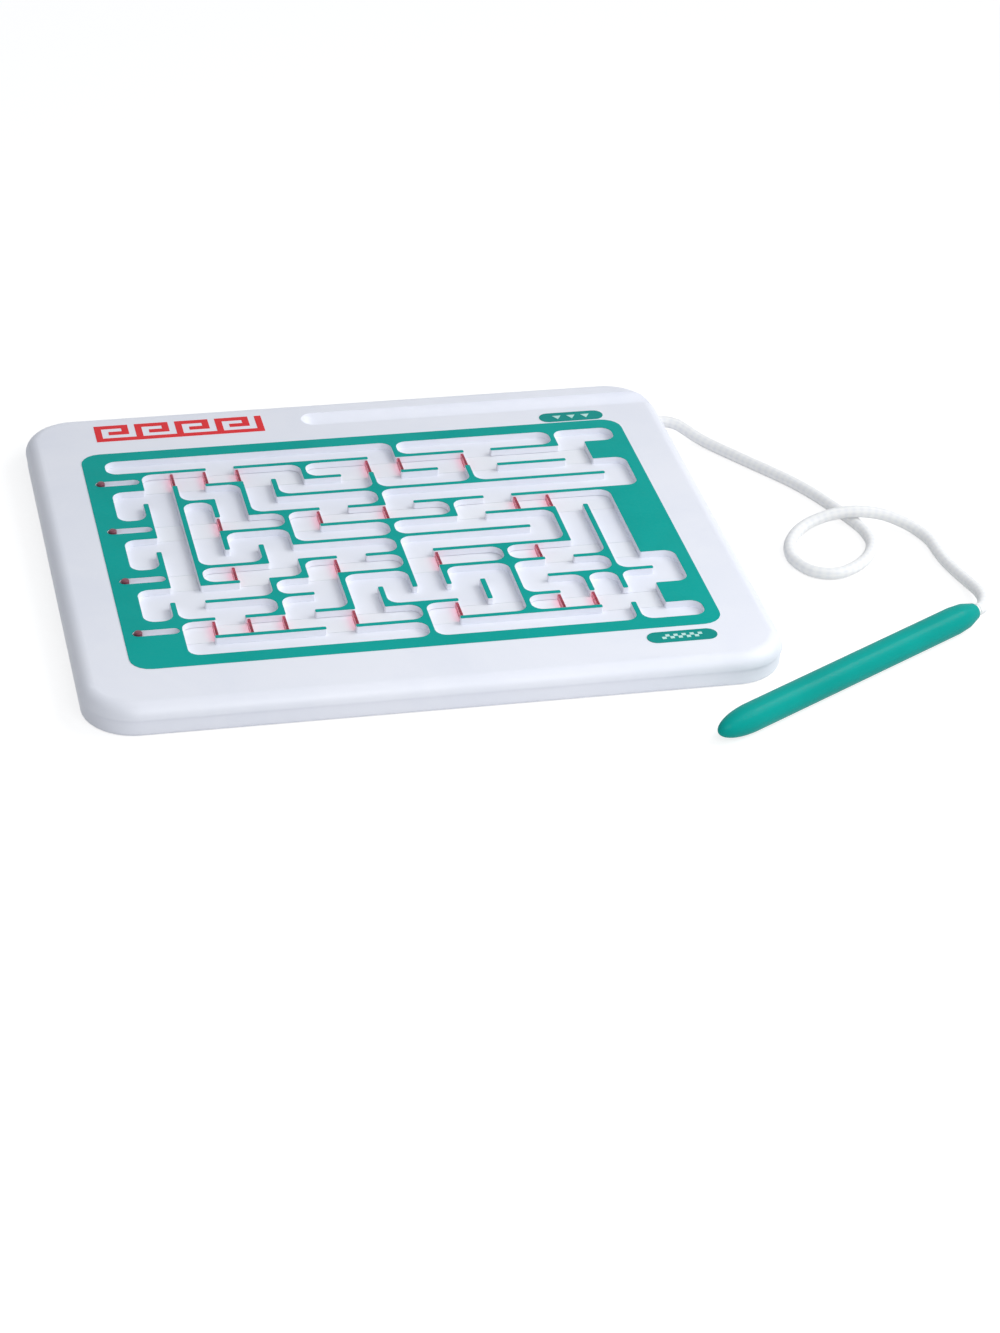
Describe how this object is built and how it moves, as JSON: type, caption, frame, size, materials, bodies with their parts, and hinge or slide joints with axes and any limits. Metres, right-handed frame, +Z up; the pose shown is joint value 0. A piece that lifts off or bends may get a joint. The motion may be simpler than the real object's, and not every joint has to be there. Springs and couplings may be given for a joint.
{
  "type": "slide-gate maze board",
  "caption": "Flat white hand-held maze board with a teal printed maze, red sliding gates pushed by a teal stylus that hangs on a white cord from the side of the case.",
  "frame": {"origin": "centre of the board's flat underside", "axes": "+X to the right of the player, +Y to the back edge with the stylus tray, +Z up out of the maze"},
  "size_m": [0.2949, 0.2261, 0.0114],
  "materials": {
    "white_plastic": "satin",
    "slider_plastic": "satin",
    "teal_print": "satin",
    "teal_plastic": "gloss",
    "red_plastic": "gloss",
    "dark_red_plastic": "gloss",
    "white_cord": "braided",
    "screw_steel": "zinc plated"
  },
  "bodies": {
    "case": {"top_shell": "white_plastic", "bottom_shell": "white_plastic", "maze_print": "teal_print", "start_pad": "teal_print", "finish_pad": "teal_print", "case_screws": "screw_steel", "case_knot": "white_cord", "cord": "white_cord"},
    "slide_1": {"slider_1": "slider_plastic", "gates_1": "red_plastic", "peg_1": "dark_red_plastic"},
    "slide_2": {"slider_2": "slider_plastic", "gates_2": "red_plastic", "peg_2": "dark_red_plastic"},
    "slide_3": {"slider_3": "slider_plastic", "gates_3": "red_plastic", "peg_3": "dark_red_plastic"},
    "slide_4": {"slider_4": "slider_plastic", "gates_4": "red_plastic", "peg_4": "dark_red_plastic"},
    "pointer": {"stylus": "teal_plastic", "cord_end": "white_cord"}
  },
  "joints": [
    {"name": "slide_1_travel", "type": "slide", "parent": "case", "child": "slide_1", "axis": [1, 0, 0], "range_m": [0, 0.011]},
    {"name": "slide_2_travel", "type": "slide", "parent": "case", "child": "slide_2", "axis": [1, 0, 0], "range_m": [0, 0.011]},
    {"name": "slide_3_travel", "type": "slide", "parent": "case", "child": "slide_3", "axis": [1, 0, 0], "range_m": [0, 0.011]},
    {"name": "slide_4_travel", "type": "slide", "parent": "case", "child": "slide_4", "axis": [1, 0, 0], "range_m": [0, 0.011]},
    {"name": "stylus_swing", "type": "hinge", "parent": "case", "child": "pointer", "pos_m": [0.17781, -0.07015, 0.0046], "axis": [0, 0, 1], "range_deg": [-8, 60]}
  ]
}
